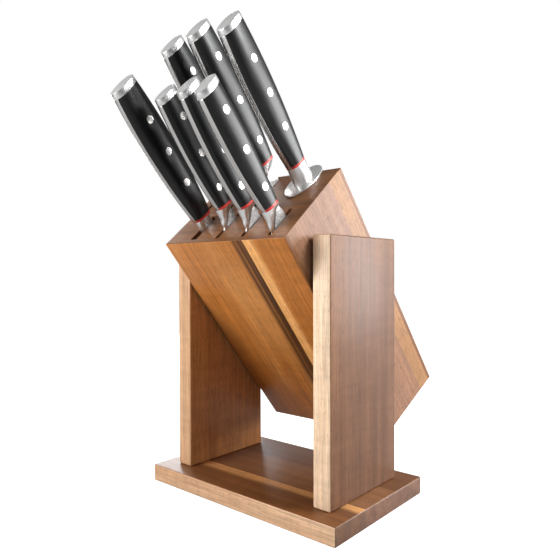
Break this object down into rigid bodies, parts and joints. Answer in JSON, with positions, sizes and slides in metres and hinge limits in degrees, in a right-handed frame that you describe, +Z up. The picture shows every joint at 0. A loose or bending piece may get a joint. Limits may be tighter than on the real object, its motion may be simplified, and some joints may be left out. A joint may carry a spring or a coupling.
{
  "type": "knife block with knives",
  "caption": "Wooden knife block tilted back between two uprights on a flat base, holding full-tang knives, a carving fork and a honing steel that slide out of their slots.",
  "frame": {"origin": "centre of the underside of the base, on the surface it stands on", "axes": "+Z up, the front of the base and the knife handles towards -Y, +X to the right seen from the front"},
  "size_m": [0.2, 0.2994, 0.3758],
  "materials": {
    "tan_wood": "semi-gloss oiled acacia",
    "pale_wood": "semi-gloss oiled acacia, pale sapwood",
    "brown_wood": "semi-gloss oiled acacia, dark heartwood",
    "beech_dowel": "plain",
    "zinc_screw": "zinc plated",
    "polished_steel": "polished stainless steel",
    "ground_steel": "finely ribbed",
    "black_scale": "satin black",
    "red_spacer": "satin red"
  },
  "bodies": {
    "stand": {"base_front_stave": "pale_wood", "base_middle_stave": "brown_wood", "base_rear_stave": "brown_wood", "left_upright": "brown_wood", "right_upright": "pale_wood", "upright_screws": "zinc_screw", "block_dowels": "beech_dowel", "front_panel_left": "tan_wood", "front_panel_right": "pale_wood", "back_panel": "tan_wood", "row_divider": "brown_wood", "front_strip_1": "tan_wood", "front_strip_2": "tan_wood", "front_strip_3": "tan_wood", "front_strip_4": "tan_wood", "front_strip_5": "tan_wood", "rear_strip_1": "tan_wood", "rear_strip_2": "tan_wood", "rear_strip_3": "tan_wood", "rear_strip_4": "tan_wood", "rear_strip_5": "tan_wood", "steel_channel_filler": "tan_wood"},
    "paring_knife": {"paring_knife_blade": "polished_steel", "paring_knife_left_scale": "black_scale", "paring_knife_right_scale": "black_scale", "paring_knife_spacers": "red_spacer", "paring_knife_rivets": "polished_steel"},
    "utility_knife": {"utility_knife_blade": "polished_steel", "utility_knife_left_scale": "black_scale", "utility_knife_right_scale": "black_scale", "utility_knife_spacers": "red_spacer", "utility_knife_rivets": "polished_steel"},
    "boning_knife": {"boning_knife_blade": "polished_steel", "boning_knife_left_scale": "black_scale", "boning_knife_right_scale": "black_scale", "boning_knife_spacers": "red_spacer", "boning_knife_rivets": "polished_steel"},
    "chef_knife": {"chef_knife_blade": "polished_steel", "chef_knife_left_scale": "black_scale", "chef_knife_right_scale": "black_scale", "chef_knife_spacers": "red_spacer", "chef_knife_rivets": "polished_steel"},
    "santoku_knife": {"santoku_knife_blade": "polished_steel", "santoku_knife_left_scale": "black_scale", "santoku_knife_right_scale": "black_scale", "santoku_knife_spacers": "red_spacer", "santoku_knife_rivets": "polished_steel"},
    "carving_fork": {"carving_fork_tines": "polished_steel", "carving_fork_left_scale": "black_scale", "carving_fork_right_scale": "black_scale", "carving_fork_spacers": "red_spacer", "carving_fork_rivets": "polished_steel"},
    "honing_steel": {"steel_tang": "polished_steel", "steel_rod": "ground_steel", "steel_guard": "polished_steel", "steel_left_scale": "black_scale", "steel_right_scale": "black_scale", "steel_spacers": "red_spacer", "steel_rivets": "polished_steel"}
  },
  "joints": [
    {"name": "carving_fork_slide", "type": "slide", "parent": "stand", "child": "carving_fork", "axis": [0, -0.6428, 0.766], "range_m": [0, 0.18]},
    {"name": "paring_knife_slide", "type": "slide", "parent": "stand", "child": "paring_knife", "axis": [0, -0.6018, 0.7986], "range_m": [0, 0.1]},
    {"name": "utility_knife_slide", "type": "slide", "parent": "stand", "child": "utility_knife", "axis": [0, -0.5948, 0.8039], "range_m": [0, 0.135]},
    {"name": "boning_knife_slide", "type": "slide", "parent": "stand", "child": "boning_knife", "axis": [0, -0.6428, 0.766], "range_m": [0, 0.15]},
    {"name": "chef_knife_slide", "type": "slide", "parent": "stand", "child": "chef_knife", "axis": [0, -0.6428, 0.766], "range_m": [0, 0.215]},
    {"name": "santoku_knife_slide", "type": "slide", "parent": "stand", "child": "santoku_knife", "axis": [0, -0.6428, 0.766], "range_m": [0, 0.19]},
    {"name": "honing_steel_slide", "type": "slide", "parent": "stand", "child": "honing_steel", "axis": [0, -0.6428, 0.766], "range_m": [0, 0.21]}
  ]
}
